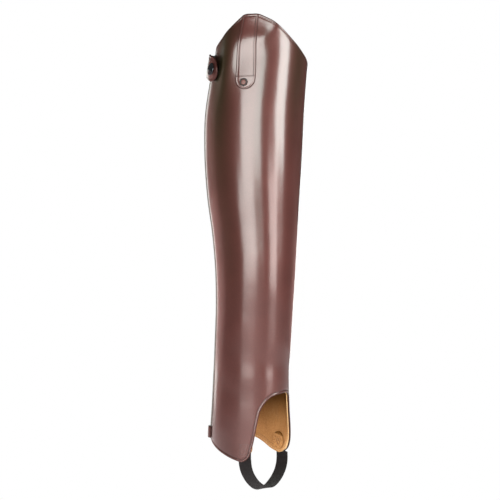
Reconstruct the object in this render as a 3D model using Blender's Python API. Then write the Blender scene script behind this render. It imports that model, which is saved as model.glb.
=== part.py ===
"""Leather half chap for the right leg, with its zip closed and its snap tab fastened.

The shin faces -Y, the outer side of the leg faces -X and +Z is up. The origin lies on the
leg's middle line at the fullest part of the calf. Sizes are in millimetres and become metres
when a mesh is made. A place on the leg is a turn, in degrees from the shin round towards the
outer side, a height, and how far it stands proud of the leather's outer face.
"""
from collections import namedtuple
from math import cos, radians, sin, sqrt

import bmesh
import bpy
import numpy as np
from mathutils import Matrix, Vector

MM = 0.001
SHARP_ANGLE = 40.0
WELD_DISTANCE = 0.01

# Thickness of each layer, and the gaps between them
LEATHER = 1.7
LINING = 1.0
SEAM_GAP = 0.3
BAND_GAP = 0.4
TAPE = 0.6
ELASTIC_THICK = 1.2
STRAP_THICK = 1.4
TAB_THICK = 2.0
PATCH_THICK = 2.2

# The leg that the leather wraps, from knee to ankle bone
Section = namedtuple("Section", "height half_depth half_width middle")
LEG = [
    Section(-345, 45.0, 35.1, 5.3),
    Section(-310, 44.5, 34.9, 5.1),
    Section(-287, 43.4, 34.2, 4.6),
    Section(-251, 42.6, 33.8, 3.4),
    Section(-214, 42.8, 34.3, 1.1),
    Section(-177, 43.0, 35.4, -0.9),
    Section(-137, 44.4, 37.6, -1.9),
    Section(-101, 46.8, 40.7, -1.3),
    Section(-62, 50.5, 45.0, 0.4),
    Section(-27, 52.8, 48.0, 0.7),
    Section(0, 53.7, 49.6, 0.2),
    Section(27, 53.8, 50.5, -1.3),
    Section(58, 52.5, 49.3, -5.2),
    Section(89, 50.4, 47.4, -9.7),
    Section(140, 50.8, 47.8, -12.3),
]

# Below this height the inner lobe flares out beside the boot: not at all before FLARE_FRONT, fully
# between the next two turns, and not at all past FLARE_BACK
FLARE = 10.0
FLARE_TOP = -245.0
FLARE_RUN = 95.0
FLARE_FRONT = 10.0
FLARE_FULL_FRONT = -30.0
FLARE_FULL_BACK = -50.0
FLARE_BACK = -110.0

# Slit for the zip, up the outer back of the leg
ZIP_TURN = 149.0
SLIT_HALF_TURN = 4.8
ZIP_EDGE = ZIP_TURN - SLIT_HALF_TURN
ZIP_BACK_EDGE = ZIP_TURN + SLIT_HALF_TURN - 360.0

# Bottom edge from the zip round the outer lobe, the instep arch and the inner lobe to the zip.
# Each point's column of the panel runs up to top_turn, and columns is their number to the next point
EdgePoint = namedtuple("EdgePoint", "turn height top_turn columns")
BOTTOM_EDGE = [
    EdgePoint(ZIP_EDGE, -320.8, ZIP_EDGE, 5),
    EdgePoint(108, -331.8, 116, 4),
    EdgePoint(85, -337.6, 97, 2),
    EdgePoint(75, -339.1, 86, 3),
    EdgePoint(66.5, -335.0, 76, 2),
    EdgePoint(60.5, -323.5, 64, 3),
    EdgePoint(53.4, -299.5, 50, 3),
    EdgePoint(47.6, -283.6, 41, 2),
    EdgePoint(33.5, -272.1, 29, 3),
    EdgePoint(14, -268.4, 11, 3),
    EdgePoint(-8, -268.2, -8, 2),
    EdgePoint(-20, -271.5, -22, 2),
    EdgePoint(-26, -281.5, -33, 3),
    EdgePoint(-32, -305, -48, 2),
    EdgePoint(-42.5, -323.5, -63, 2),
    EdgePoint(-54, -332.8, -75, 2),
    EdgePoint(-69, -337.7, -88, 2),
    EdgePoint(-79, -335.2, -98, 3),
    EdgePoint(-105, -323.2, -120, 4),
    EdgePoint(-135, -317.8, -145, 4),
    EdgePoint(-172, -318.0, -177, 4),
    EdgePoint(ZIP_BACK_EDGE, -320.8, ZIP_BACK_EDGE, 0),
]

# Top edge, with its flat peak on the outer side
TopPoint = namedtuple("TopPoint", "turn height")
TOP_EDGE = [
    TopPoint(ZIP_BACK_EDGE, 96.5),
    TopPoint(-190, 93.0),
    TopPoint(-160, 84.0),
    TopPoint(-120, 75.0),
    TopPoint(-80, 72.5),
    TopPoint(-45, 75.5),
    TopPoint(-20, 81.7),
    TopPoint(-3.6, 87.2),
    TopPoint(16.8, 97.9),
    TopPoint(32.4, 107.5),
    TopPoint(49.4, 118.2),
    TopPoint(58, 121.8),
    TopPoint(65, 124.4),
    TopPoint(74, 124.9),
    TopPoint(83, 124.5),
    TopPoint(89.1, 120.8),
    TopPoint(101.7, 111.7),
    TopPoint(115.7, 105.0),
    TopPoint(128.4, 100.6),
    TopPoint(ZIP_EDGE, 97.0),
]
PANEL_ROWS = 20
ROW_CROWDING = 0.09
MM_PER_TURN = 0.8

# Where the lining is tucked in behind the zip's tape and behind the elastic's sewn ends
ZIP_TUCK = 1.1
ZIP_TUCK_TURN = 15.0
ELASTIC_TUCK = 1.6
ELASTIC_TUCK_TURN = 14.0
ELASTIC_TUCK_TOP = -298.0
TUCK_RUN_TURN = 15.0
TUCK_RUN = 18.0

# Zip: the slider and its pull are given by the right-hand edge of their plates, from bottom to top
TAPE_HALF_TURN = 11.0
TAPE_END = 2.0
CHAIN_HALF = 3.0
CHAIN_PROUD = 0.6
CHAIN_BOTTOM = -315.0
CHAIN_TOP = 91.0
SLIDER_MIDDLE = 83.5
SLIDER_SIDE = [(2.6, -5.2), (3.6, -1.0), (4.2, 3.4), (2.2, 5.6)]
SLIDER_THICK = 1.9
PULL_SIDE = [(1.4, -13.5), (2.8, -11.5), (2.8, 1.0), (1.6, 3.0)]
PULL_THICK = 0.9

# Shares of its radius at which a round end has a row of points
ROUND_END = (0.04, 0.12, 0.26, 0.46, 0.71, 1.0)

# Tab over the zip's top: it is sewn on behind the zip and snapped down in front of it
TabStation = namedtuple("TabStation", "turn height half_height")
TAB = [
    TabStation(111.5, 69.0, 13.0),
    TabStation(123, 71.6, 13.0),
    TabStation(136, 75.0, 13.0),
    TabStation(150, 78.0, 13.0),
    TabStation(158, 78.4, 12.8),
    TabStation(166, 78.2, 12.5),
    TabStation(174, 77.5, 12.0),
]
TAB_ROWS = 13
TAB_PROUD = 4.4
TAB_LOW_TURN = 164.0
TAB_HIGH_TURN = 157.0
SNAP_TURN = 122.0
SNAP_HEIGHT = 71.5
CAP_PROFILE = [(0.0, 0.0), (6.0, 0.0), (6.6, 0.5), (6.6, 1.1), (5.9, 1.6), (3.4, 2.1), (0.0, 2.3)]
SOCKET_RADIUS = 5.2
SOCKET_HEIGHT = 3.35

# Upright strap on the outer side
StrapStation = namedtuple("StrapStation", "height turn half_width")
STRAP = [
    StrapStation(47.6, 73.6, 10.4),
    StrapStation(62, 74.3, 10.3),
    StrapStation(93, 77, 9.6),
    StrapStation(124.3, 75, 8.2),
]
STRAP_ROWS = 7
STUD_TURN = 75.3
STUD_HEIGHT = 54.6
STUD_PROFILE = [(0.0, 0.0), (3.8, 0.0), (4.2, 0.5), (3.7, 1.1), (2.0, 1.4), (0.0, 1.5)]

# Leather patch over the zip's foot
PATCH_HALF_TURN = 8.5
PATCH_BOTTOM = -318.6
PATCH_TOP = -306.4

# Elastic under the boot, from the outer lobe down and up to the inner lobe
ELASTIC_HALF = 7.0
ELASTIC_OUTER_TURN = 71.5
ELASTIC_INNER_TURN = -66.0
ELASTIC_TOP = -319.0
ELASTIC_EXIT = -335.5
RoutePoint = namedtuple("RoutePoint", "x y z twist yaw")
ELASTIC_ROUTE = [
    RoutePoint(-30.6, -8.0, -337.0, 0, 14),
    RoutePoint(-30.1, -8.2, -341.8, 2, 13),
    RoutePoint(-27.9, -8.8, -349.2, 8, 11),
    RoutePoint(-23.6, -9.8, -356.2, 14, 8),
    RoutePoint(-17.0, -10.9, -363.0, 18, 5),
    RoutePoint(-9.3, -12.0, -367.9, 20, 3),
    RoutePoint(-2.0, -12.9, -370.2, 16, 1),
    RoutePoint(6.4, -13.6, -370.1, 6, 0),
    RoutePoint(17.0, -14.0, -366.4, 0, 0),
    RoutePoint(27.0, -14.0, -360.0, 0, 0),
    RoutePoint(33.2, -13.9, -353.0, 0, 0),
    RoutePoint(36.4, -13.5, -346.0, 0, 0),
    RoutePoint(37.3, -13.1, -340.5, 0, 0),
    RoutePoint(37.3, -13.0, -337.0, 0, 0),
]
ELASTIC_ROWS = 22

Finish = namedtuple("Finish", "colour roughness metallic")
FINISHES = {
    "oxblood_leather": Finish((0.16, 0.055, 0.050), 0.28, 0.0),
    "tan_leather": Finish((0.50, 0.24, 0.09), 0.65, 0.0),
    "brown_stud": Finish((0.14, 0.045, 0.040), 0.35, 0.0),
    "dark_metal": Finish((0.05, 0.05, 0.055), 0.25, 1.0),
    "black_webbing": Finish((0.022, 0.021, 0.023), 0.85, 0.0),
}


def smooth_curve(along, values):
    """A cubic through the values, whose slope at each one comes from its neighbours."""
    along, values = np.array(along, float), np.array(values, float)
    slopes = np.gradient(values, along)

    def read(place):
        i = int(np.clip(np.searchsorted(along, place) - 1, 0, len(along) - 2))
        span = along[i + 1] - along[i]
        t = (place - along[i]) / span
        ends = (2 * t**3 - 3 * t**2 + 1) * values[i] + (3 * t**2 - 2 * t**3) * values[i + 1]
        return ends + span * ((t**3 - 2 * t**2 + t) * slopes[i] + (t**3 - t**2) * slopes[i + 1])
    return read


def table_curve(table, along, name):
    """The column of a table called name, read along another of its columns."""
    return smooth_curve([getattr(row, along) for row in table], [getattr(row, name) for row in table])


def ease(t):
    """Rises softly from 0 to 1."""
    t = min(max(t, 0.0), 1.0)
    return t * t * (3 - 2 * t)


half_depth = table_curve(LEG, "height", "half_depth")
half_width = table_curve(LEG, "height", "half_width")
middle = table_curve(LEG, "height", "middle")
top_edge = table_curve(TOP_EDGE, "turn", "height")


def on_leg(turn, height, proud):
    """The point at a turn and a height, proud of the leather's outer face."""
    side = (turn + 180.0) % 360.0 - 180.0
    flare = FLARE * ease((FLARE_TOP - height) / FLARE_RUN)
    flare *= ease((FLARE_FRONT - side) / (FLARE_FRONT - FLARE_FULL_FRONT))
    flare *= ease((side - FLARE_BACK) / (FLARE_FULL_BACK - FLARE_BACK))
    across = half_width(height) + proud + flare
    deep = half_depth(height) + proud
    return Vector((-across * sin(radians(turn)), middle(height) - deep * cos(radians(turn)), height))


def turn_for(distance, turn, height):
    """The change of turn that moves a point by this distance round the leg."""
    per_degree = (on_leg(turn + 1, height, 0) - on_leg(turn - 1, height, 0)).length / 2
    return distance / per_degree


def seat(turn, height, proud):
    """A frame on the leg, in metres: its Z stands out of the leather and its Y runs up the leg."""
    up = (on_leg(turn, height + 1, proud) - on_leg(turn, height - 1, proud)).normalized()
    around = (on_leg(turn + 1, height, proud) - on_leg(turn - 1, height, proud)).normalized()
    out = up.cross(around).normalized()
    frame = Matrix((up.cross(out), up, out)).transposed().to_4x4()
    frame.translation = on_leg(turn, height, proud) * MM
    return frame


def spread(start, end, count):
    """Count + 1 even values from start to end."""
    return [start + (end - start) * i / count for i in range(count + 1)]


def clear_scene():
    for thing in list(bpy.data.objects):
        bpy.data.objects.remove(thing, do_unlink=True)


def finish_named(name):
    """The material of one finish, made once."""
    if name in bpy.data.materials:
        return bpy.data.materials[name]
    material = bpy.data.materials.new(name)
    material.use_nodes = True
    shader = material.node_tree.nodes["Principled BSDF"]
    shader.inputs["Base Color"].default_value = (*FINISHES[name].colour, 1.0)
    shader.inputs["Roughness"].default_value = FINISHES[name].roughness
    shader.inputs["Metallic"].default_value = FINISHES[name].metallic
    return material


def add_piece(name, bm, finish):
    """Turns a finished bmesh, in metres, into a named object."""
    bmesh.ops.recalc_face_normals(bm, faces=bm.faces)
    mesh = bpy.data.meshes.new(name)
    bm.to_mesh(mesh)
    bm.free()
    mesh.shade_smooth()
    mesh.set_sharp_from_angle(angle=radians(SHARP_ANGLE))
    mesh.materials.append(finish_named(finish))
    piece = bpy.data.objects.new(name, mesh)
    bpy.context.scene.collection.objects.link(piece)
    return piece


def wall(name, outer, inner, finish):
    """A closed wall between two grids of points with the same rows and columns."""
    rows, columns = len(outer), len(outer[0])
    bm = bmesh.new()
    out = [[bm.verts.new(point * MM) for point in row] for row in outer]
    back = [[bm.verts.new(point * MM) for point in row] for row in inner]
    for r in range(rows - 1):
        for c in range(columns - 1):
            bm.faces.new((out[r][c], out[r][c + 1], out[r + 1][c + 1], out[r + 1][c]))
            bm.faces.new((back[r][c], back[r + 1][c], back[r + 1][c + 1], back[r][c + 1]))
    rim = [(0, c) for c in range(columns - 1)] + [(r, columns - 1) for r in range(rows - 1)]
    rim += [(rows - 1, c) for c in range(columns - 1, 0, -1)] + [(r, 0) for r in range(rows - 1, 0, -1)]
    for (r, c), (next_r, next_c) in zip(rim, rim[1:] + rim[:1]):
        bm.faces.new((out[r][c], back[r][c], back[next_r][next_c], out[next_r][next_c]))
    return add_piece(name, bm, finish)


def laid_wall(name, places, low, thick, finish):
    """A wall laid on the leg: places is a grid of (turn, height), low(turn, height) its inner face."""
    inner = [[on_leg(turn, height, low(turn, height)) for turn, height in row] for row in places]
    outer = [[on_leg(turn, height, low(turn, height) + thick) for turn, height in row] for row in places]
    return wall(name, outer, inner, finish)


def turned(name, profile, frame, finish, steps=24):
    """A round piece turned from its profile of (radius, height), standing in a frame."""
    bm = bmesh.new()
    verts = [bm.verts.new((radius * MM, 0.0, height * MM)) for radius, height in profile]
    edges = [bm.edges.new(pair) for pair in zip(verts, verts[1:])]
    bmesh.ops.spin(bm, geom=verts + edges, cent=(0, 0, 0), axis=(0, 0, 1), angle=radians(360),
                   steps=steps, use_merge=True)
    bmesh.ops.remove_doubles(bm, verts=bm.verts, dist=WELD_DISTANCE * MM)
    bmesh.ops.transform(bm, matrix=frame, verts=bm.verts)
    return add_piece(name, bm, finish)


def plate(name, side, thick, frame, finish):
    """A flat plate in a frame: side is its right-hand edge from bottom to top, mirrored on the left."""
    outline = side + [(-x, y) for x, y in reversed(side)]
    bm = bmesh.new()
    face = bm.faces.new([bm.verts.new((x * MM, y * MM, 0.0)) for x, y in outline])
    lifted = bmesh.ops.extrude_face_region(bm, geom=[face])["geom"]
    top = [part for part in lifted if isinstance(part, bmesh.types.BMVert)]
    bmesh.ops.translate(bm, verts=top, vec=(0, 0, thick * MM))
    bmesh.ops.transform(bm, matrix=frame, verts=bm.verts)
    return add_piece(name, bm, finish)


def panel_places():
    """The panel's grid of (turn, height), in rows from its bottom edge to its top edge."""
    steps = zip(BOTTOM_EDGE, BOTTOM_EDGE[1:])
    lengths = [sqrt(((b.turn - a.turn) * MM_PER_TURN) ** 2 + (b.height - a.height) ** 2) for a, b in steps]
    along = np.concatenate(([0.0], np.cumsum(lengths)))
    edge_turn = smooth_curve(along, [point.turn for point in BOTTOM_EDGE])
    edge_height = smooth_curve(along, [point.height for point in BOTTOM_EDGE])
    edge_top = smooth_curve(along, [point.top_turn for point in BOTTOM_EDGE])
    stops = [along[-1]]
    for i, point in reversed(list(enumerate(BOTTOM_EDGE[:-1]))):
        stops = spread(along[i], along[i + 1], point.columns)[:-1] + stops
    places = []
    for share in spread(0.0, 1.0, PANEL_ROWS):
        up = share - ROW_CROWDING * sin(2 * np.pi * share)
        row = []
        for stop in stops:
            top = edge_top(stop)
            turn = top + (edge_turn(stop) - top) * (1 - up) ** 2
            row.append((turn, edge_height(stop) + (top_edge(top) - edge_height(stop)) * up))
        places.append(row)
    return places


def lining_tuck(turn, height):
    """How far the lining is pushed in behind the zip's tape and the elastic's ends."""
    turn = (turn + 180.0) % 360.0 - 180.0
    from_zip = min(abs(turn - ZIP_TURN), abs(turn + 360.0 - ZIP_TURN))
    behind_zip = ZIP_TUCK * (1 - ease((from_zip - ZIP_TUCK_TURN) / TUCK_RUN_TURN))
    from_elastic = min(abs(turn - ELASTIC_OUTER_TURN), abs(turn - ELASTIC_INNER_TURN))
    behind_elastic = ELASTIC_TUCK * (1 - ease((from_elastic - ELASTIC_TUCK_TURN) / TUCK_RUN_TURN))
    behind_elastic *= ease((ELASTIC_TUCK_TOP - height) / TUCK_RUN)
    return max(behind_zip, behind_elastic)


def make_panels():
    """The outer leather and, behind it, the tan lining."""
    places = panel_places()
    laid_wall("shell", places, lambda turn, height: -LEATHER, LEATHER, "oxblood_leather")
    laid_wall("lining", places,
              lambda turn, height: -LEATHER - SEAM_GAP - LINING - lining_tuck(turn, height),
              LINING, "tan_leather")


def make_zip():
    """The tape behind the slit, the closed chain in it, and the slider with its pull."""
    rows = [share - ROW_CROWDING * sin(2 * np.pi * share) for share in spread(0.0, 1.0, PANEL_ROWS)]
    bottom, top = BOTTOM_EDGE[0].height, top_edge(ZIP_EDGE)
    heights = [bottom + (top - bottom) * row for row in rows]

    tape_heights = [bottom + TAPE_END] + heights[1:-1] + [top - TAPE_END]
    tape_turns = spread(ZIP_TURN - TAPE_HALF_TURN, ZIP_TURN + TAPE_HALF_TURN, 6)
    tape_low = -LEATHER - BAND_GAP - TAPE
    laid_wall("zip_tape", [[(turn, height) for turn in tape_turns] for height in tape_heights],
              lambda turn, height: tape_low, TAPE, "black_webbing")

    between = [height for height in heights if CHAIN_BOTTOM < height < CHAIN_TOP]
    chain = []
    for height in [CHAIN_BOTTOM] + between + [CHAIN_TOP]:
        half = turn_for(CHAIN_HALF, ZIP_TURN, height)
        chain.append([(turn, height) for turn in spread(ZIP_TURN - half, ZIP_TURN + half, 2)])
    laid_wall("zip_chain", chain, lambda turn, height: -LEATHER, LEATHER + CHAIN_PROUD, "dark_metal")

    slider_low = CHAIN_PROUD + SEAM_GAP
    plate("zip_slider", SLIDER_SIDE, SLIDER_THICK, seat(ZIP_TURN, SLIDER_MIDDLE, slider_low), "dark_metal")
    pull_low = slider_low + SLIDER_THICK + SEAM_GAP
    plate("zip_pull", PULL_SIDE, PULL_THICK, seat(ZIP_TURN, SLIDER_MIDDLE, pull_low), "dark_metal")


def tab_places():
    """The tab's grid of (turn, height), from its round end to its sewn end."""
    centre = table_curve(TAB, "turn", "height")
    full = table_curve(TAB, "turn", "half_height")
    start, end = TAB[0].turn, TAB[-1].turn
    per_degree = 1 / turn_for(1.0, SNAP_TURN, SNAP_HEIGHT)
    radius = TAB[0].half_height / per_degree
    turns = [start + radius * share for share in ROUND_END]
    turns += spread(start + radius, end, TAB_ROWS)[1:]
    places = []
    for turn in turns:
        half = full(turn)
        inset = half - (turn - start) * per_degree
        if inset > 0:
            half = sqrt(half**2 - inset**2)
        places.append([(turn, centre(turn) + half * share) for share in spread(-1.0, 1.0, 6)])
    return places


def make_tab():
    """The tab, the snap's socket below it and the snap's cap on it."""
    def low(turn, height):
        rise = ease((TAB_LOW_TURN - turn) / (TAB_LOW_TURN - TAB_HIGH_TURN))
        return SEAM_GAP + (TAB_PROUD - SEAM_GAP) * rise

    laid_wall("snap_tab", tab_places(), low, TAB_THICK, "oxblood_leather")
    socket = [(0.0, 0.0), (SOCKET_RADIUS, 0.0), (SOCKET_RADIUS, SOCKET_HEIGHT), (0.0, SOCKET_HEIGHT)]
    turned("snap_socket", socket, seat(SNAP_TURN, SNAP_HEIGHT, SEAM_GAP), "dark_metal")
    cap_low = TAB_PROUD + TAB_THICK + SEAM_GAP
    turned("snap_cap", CAP_PROFILE, seat(SNAP_TURN, SNAP_HEIGHT, cap_low), "dark_metal")


def make_strap():
    """The upright strap with its round lower end, and its stud."""
    centre = table_curve(STRAP, "height", "turn")
    full = table_curve(STRAP, "height", "half_width")
    bottom, top = STRAP[0].height, STRAP[-1].height
    radius = STRAP[0].half_width
    heights = [bottom + radius * share for share in ROUND_END]
    heights += spread(bottom + radius, top, STRAP_ROWS)[1:]
    places = []
    for height in heights:
        half = full(height)
        inset = half - (height - bottom)
        if inset > 0:
            half = sqrt(half**2 - inset**2)
        half = turn_for(half, centre(height), height)
        places.append([(centre(height) + half * share, height) for share in spread(-1.0, 1.0, 6)])
    laid_wall("pull_strap", places, lambda turn, height: SEAM_GAP, STRAP_THICK, "oxblood_leather")
    stud_low = 2 * SEAM_GAP + STRAP_THICK
    turned("strap_stud", STUD_PROFILE, seat(STUD_TURN, STUD_HEIGHT, stud_low), "brown_stud", steps=20)


def make_patch():
    """The small leather patch sewn over the foot of the zip."""
    turns = spread(ZIP_TURN - PATCH_HALF_TURN, ZIP_TURN + PATCH_HALF_TURN, 10)
    places = [[(turn, height) for turn in turns] for height in spread(PATCH_BOTTOM, PATCH_TOP, 4)]

    def low(turn, height):
        off_chain = (abs(turn - ZIP_TURN) - SLIT_HALF_TURN) / (PATCH_HALF_TURN - SLIT_HALF_TURN)
        return CHAIN_PROUD + SEAM_GAP - CHAIN_PROUD * ease(off_chain)

    laid_wall("zip_end_patch", places, low, PATCH_THICK, "oxblood_leather")


def elastic_in_lobe(middle_turn, side, height):
    """One row of the elastic between shell and lining: its points on the outer and the inner face."""
    outer, inner = [], []
    for share in spread(-1.0, 1.0, 4):
        turn = middle_turn - side * share * turn_for(ELASTIC_HALF, middle_turn, height)
        outer.append(on_leg(turn, height, -LEATHER - BAND_GAP))
        inner.append(on_leg(turn, height, -LEATHER - BAND_GAP - ELASTIC_THICK))
    return outer, inner


def elastic_on_route(before, point, after):
    """One row of the hanging elastic, square to its route and turned by the point's twist and yaw."""
    along = Vector((after.x - before.x, after.y - before.y, after.z - before.z)).normalized()
    twist, yaw = radians(point.twist), radians(point.yaw)
    across = Vector((cos(twist) * sin(yaw), -cos(twist) * cos(yaw), sin(twist)))
    across = (across - along * across.dot(along)).normalized()
    out = along.cross(across) * ELASTIC_THICK / 2
    centre = Vector((point.x, point.y, point.z))
    row = [centre + across * ELASTIC_HALF * share for share in spread(-1.0, 1.0, 4)]
    return [place + out for place in row], [place - out for place in row]


def elastic_route():
    """The hanging elastic's middle line, evenly spaced along a smooth curve through its route."""
    points = np.array([point[:3] for point in ELASTIC_ROUTE])
    along = np.concatenate(([0.0], np.cumsum(np.linalg.norm(np.diff(points, axis=0), axis=1))))
    curves = [smooth_curve(along, [point[i] for point in ELASTIC_ROUTE]) for i in range(5)]
    places = spread(0.0, along[-1], ELASTIC_ROWS)
    return [RoutePoint(*(curve(place) for curve in curves)) for place in places]


def make_elastic():
    """The elastic, sewn in at both lobes and hanging in a loop below them."""
    held = spread(ELASTIC_TOP, ELASTIC_EXIT, 3)
    route = elastic_route()
    rows = [elastic_in_lobe(ELASTIC_OUTER_TURN, 1, height) for height in held]
    rows += [elastic_on_route(*three) for three in zip(route, route[1:], route[2:])]
    rows += [elastic_in_lobe(ELASTIC_INNER_TURN, -1, height) for height in reversed(held)]
    wall("elastic", [row[0] for row in rows], [row[1] for row in rows], "black_webbing")


clear_scene()
make_panels()
make_zip()
make_tab()
make_strap()
make_patch()
make_elastic()
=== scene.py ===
from math import cos, pi, radians, sin

import bmesh
import bpy
import numpy as np
from mathutils import Matrix, Vector


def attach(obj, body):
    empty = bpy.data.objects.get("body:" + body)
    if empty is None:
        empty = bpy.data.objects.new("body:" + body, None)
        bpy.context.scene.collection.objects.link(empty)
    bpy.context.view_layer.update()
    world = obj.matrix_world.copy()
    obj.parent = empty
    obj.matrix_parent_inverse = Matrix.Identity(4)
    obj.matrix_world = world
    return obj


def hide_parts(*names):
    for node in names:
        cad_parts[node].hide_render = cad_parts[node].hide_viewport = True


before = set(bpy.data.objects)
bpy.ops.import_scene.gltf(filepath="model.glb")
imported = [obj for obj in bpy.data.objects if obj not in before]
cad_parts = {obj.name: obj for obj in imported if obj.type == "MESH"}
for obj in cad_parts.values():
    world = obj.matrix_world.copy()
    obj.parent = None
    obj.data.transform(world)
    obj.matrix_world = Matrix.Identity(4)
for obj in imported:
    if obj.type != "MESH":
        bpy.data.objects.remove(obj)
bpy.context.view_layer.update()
scene = bpy.context.scene
mm = 0.001

# the leg that fills the leather: places are a turn from the shin in degrees, a height in mm,
# and how far a point stands proud of the leather's face

legForm = {
    "height": [-345, -310, -287, -251, -214, -177, -137, -101, -62, -27, 0, 27, 58, 89, 140],
    "halfDepth": [45, 44.5, 43.4, 42.6, 42.8, 43, 44.4, 46.8, 50.5, 52.8, 53.7, 53.8, 52.5, 50.4, 50.8],
    "halfWidth": [35.1, 34.9, 34.2, 33.8, 34.3, 35.4, 37.6, 40.7, 45, 48, 49.6, 50.5, 49.3, 47.4, 47.8],
    "middle": [5.3, 5.1, 4.6, 3.4, 1.1, -0.9, -1.9, -1.3, 0.4, 0.7, 0.2, -1.3, -5.2, -9.7, -12.3],
    # mm for one degree of turn, near the foot
    "footPerDegree": 0.8,
    # the inner lobe flares out: how far, below which height over which run, between which turns
    "flare": 10.0, "flareTop": -245.0, "flareRun": 95.0,
    "flareFront": (10.0, -30.0), "flareBack": (-110.0, -50.0),
}

# soft dents and swells of the leather: turn, height, reach round, reach up, depth
softForms = [
    (88, 99, 24, 15, 1.7),
    (61, 99, 12, 9, 1.0),
    (40, 119, 13, 15, 2.3),
    (100, 82, 12, 34, 4.2),
    (92, 78, 20, 32, 1.2),
    (128, 40, 16, 60, -0.5),
    (20, -20, 14, 60, 0.4),
    (110, -110, 16, 40, -0.5),
    (55, -146, 60, 46, 1.3),
    (84, -196, 20, 30, 0.35),
    (30, -236, 24, 12, -0.5),
    (66, -252, 26, 14, 0.4),
    (118, -262, 22, 16, -0.45),
    (72, -316, 24, 20, -0.8),
    (-30, 40, 22, 34, -0.5),
    (-80, -30, 20, 60, 0.5),
    (-140, 20, 22, 44, -0.6),
    (-60, -140, 18, 36, -0.5),
    (-110, -210, 24, 20, 0.5),
    (-40, -246, 26, 13, -0.5),
    (-90, -268, 26, 14, -0.5),
    (-160, -120, 16, 50, 0.4),
    (178, -240, 26, 16, -0.5),
    (170, -30, 14, 50, -0.4),
]

# places where the leather is painted darker as painted shade, on bands that turn away from the lamps: turn,
# height, reach round, reach up, share
darkSpots = [
    (110, 80, 19, 55, 1.0),
    (104, 0, 17, 60, 0.55),
    (100, -110, 18, 70, 0.3),
    (8, 70, 16, 60, 0.7),
    (55, 60, 5, 60, 0.5),
    (56, -60, 5, 80, 0.4),
    (76, 108, 16, 8, 0.4),
]

layers = {
    "leather": 1.7, "lining": 1.0, "seamGap": 0.3, "bandGap": 0.4, "tape": 0.6,
    "zipTurn": 149.0, "zipFoot": -320.8, "zipTop": 97.0, "slitHalf": 4.8,
    # turns of the middle of the elastic in the outer and the inner lobe
    "outerEnd": 71.5, "innerEnd": -66.0,
    # how far the lining's inner face moves in behind the zip and the elastic, over which turns, below
    # which height
    "zipTuck": 1.1, "zipTuckTurns": 15.0, "tuckFade": 15.0,
    "elasticTuck": 1.6, "elasticTuckTurns": 14.0, "elasticTuckTop": -298.0, "elasticTuckRun": 18.0,
}
zipTurn, gap = layers["zipTurn"], layers["seamGap"]
zipEdge, zipBackEdge = zipTurn - layers["slitHalf"], zipTurn + layers["slitHalf"] - 360

# the bottom edge from the zip round both lobes to the zip: turn, height, and the turn it has at the top
bottomPoints = np.array([
    (zipEdge, layers["zipFoot"], zipEdge), (108, -331.8, 116), (85, -337.6, 97), (75, -339.1, 86),
    (66.5, -335, 76), (60.5, -323.5, 64), (53.4, -299.5, 50), (47.6, -283.6, 41), (33.5, -272.1, 29),
    (14, -268.4, 11), (-8, -268.2, -8), (-20, -271.5, -22), (-26, -281.5, -33), (-32, -305, -48),
    (-42.5, -323.5, -63), (-54, -332.8, -75), (-69, -337.7, -88), (-79, -335.2, -98), (-105, -323.2, -120),
    (-135, -317.8, -145), (-172, -318, -177), (zipBackEdge, layers["zipFoot"], zipBackEdge)])
# rows of that table at the tips of the lobes, and where the lining's thread starts and ends
lobeRows = {"outerBack": 2, "outerTip": 3, "innerFront": 13, "innerTip": 16, "innerMiddle": 18,
            "innerBack": 19}
# the top edge from the zip round the shin to the zip: turn, height
topPoints = np.array([
    (zipBackEdge, 96.5), (-190, 93), (-160, 84), (-120, 75), (-80, 72.5), (-45, 75.5), (-20, 81.7),
    (-3.6, 87.2), (16.8, 97.9), (32.4, 107.5), (49.4, 118.2), (58, 121.8), (65, 124.4), (74, 124.9),
    (83, 124.5), (89.1, 120.8), (101.7, 111.7), (115.7, 105), (128.4, 100.6), (zipEdge, layers["zipTop"])])


def smoothCurve(along, values):
    # a smooth curve through every value
    along, values = np.array(along, float), np.array(values, float)
    slopes = np.gradient(values, along)

    def read(place):
        i = np.clip(np.searchsorted(along, place) - 1, 0, len(along) - 2)
        span = along[i + 1] - along[i]
        t = (place - along[i]) / span
        ends = (2 * t**3 - 3 * t**2 + 1) * values[i] + (3 * t**2 - 2 * t**3) * values[i + 1]
        return ends + span * ((t**3 - 2 * t**2 + t) * slopes[i] + (t**3 - t**2) * slopes[i + 1])
    return read


def ease(t):
    t = np.clip(t, 0.0, 1.0)
    return t * t * (3 - 2 * t)


def ridge(away, height, reach):
    return height * np.exp(-(away / reach) ** 2)


def runLength(points):
    # the length of a path up to each of its points
    return np.concatenate(([0.0], np.cumsum(np.linalg.norm(np.diff(points, axis=0), axis=1))))


halfDepth = smoothCurve(legForm["height"], legForm["halfDepth"])
halfWidth = smoothCurve(legForm["height"], legForm["halfWidth"])
middle = smoothCurve(legForm["height"], legForm["middle"])
topHeight = smoothCurve(topPoints[:, 0], topPoints[:, 1])
bottomAlong = runLength(bottomPoints[:, :2] * (legForm["footPerDegree"], 1))
bottomTurn, bottomHeight, bottomTop = (smoothCurve(bottomAlong, bottomPoints[:, i]) for i in range(3))
atLobe = {place: bottomAlong[row] for place, row in lobeRows.items()}


def softForm(turn, height, forms=softForms):
    total = np.zeros(np.broadcast(turn, height).shape)
    for formTurn, formHeight, reachRound, reachUp, depth in forms:
        off = ((turn - formTurn + 180) % 360 - 180) / reachRound
        total = total + depth * np.exp(-off**2 - ((height - formHeight) / reachUp) ** 2)
    return total


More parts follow.
